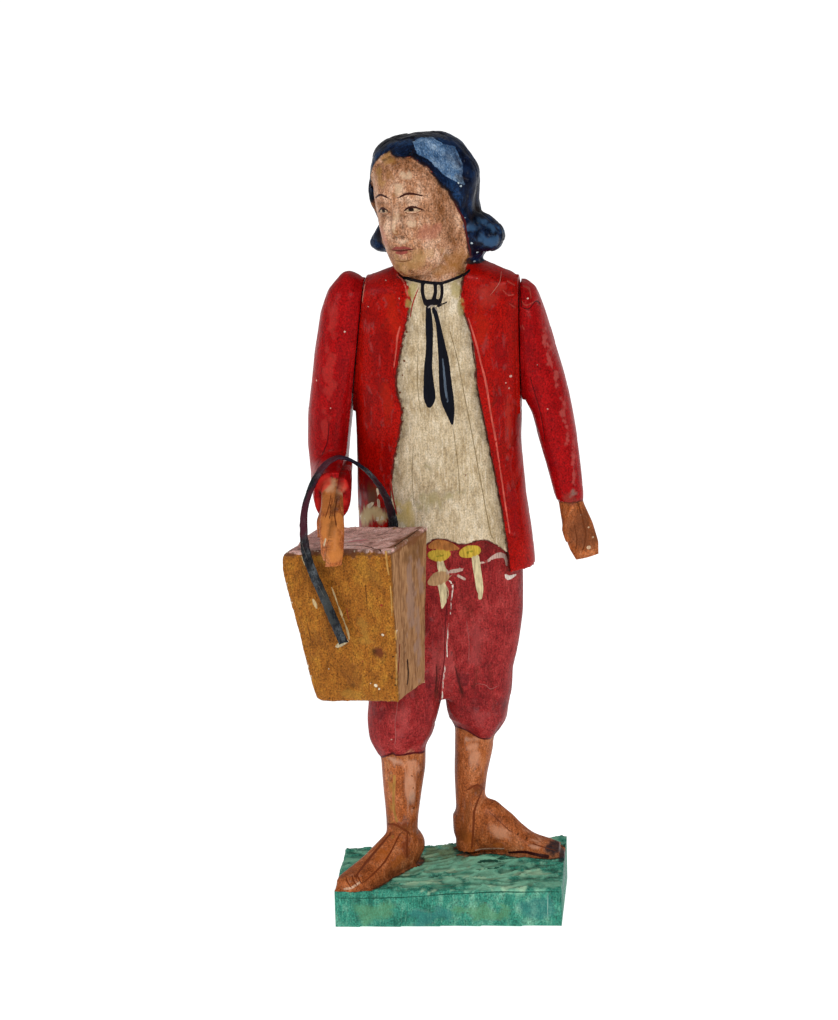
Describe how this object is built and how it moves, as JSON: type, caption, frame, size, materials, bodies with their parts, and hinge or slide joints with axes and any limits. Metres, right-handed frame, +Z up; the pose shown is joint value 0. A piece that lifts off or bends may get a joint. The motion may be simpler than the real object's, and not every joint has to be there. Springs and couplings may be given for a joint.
{
  "type": "carved wooden nativity figure",
  "caption": "Standing carved and painted wooden crib figure of a barefoot peasant in a red coat, with a wooden pail hung by a strap from one forearm, on a green plinth.",
  "frame": {"origin": "centre of the plinth's flat underside", "axes": "+Z up along the figure, -Y the way the figure's body faces, +X towards the figure's left arm"},
  "size_m": [0.0582, 0.0382, 0.1498],
  "materials": {
    "painted_figure": "glossy old paint",
    "painted_right_arm": "glossy old paint",
    "painted_left_arm": "glossy old paint",
    "pail_wood": "stained and partly bare",
    "strap_leather": "painted, worn at the edges"
  },
  "bodies": {
    "root": {"figure": "painted_figure", "right_arm": "painted_right_arm", "left_arm": "painted_left_arm", "pail": "pail_wood", "pail_strap": "strap_leather"}
  },
  "joints": []
}
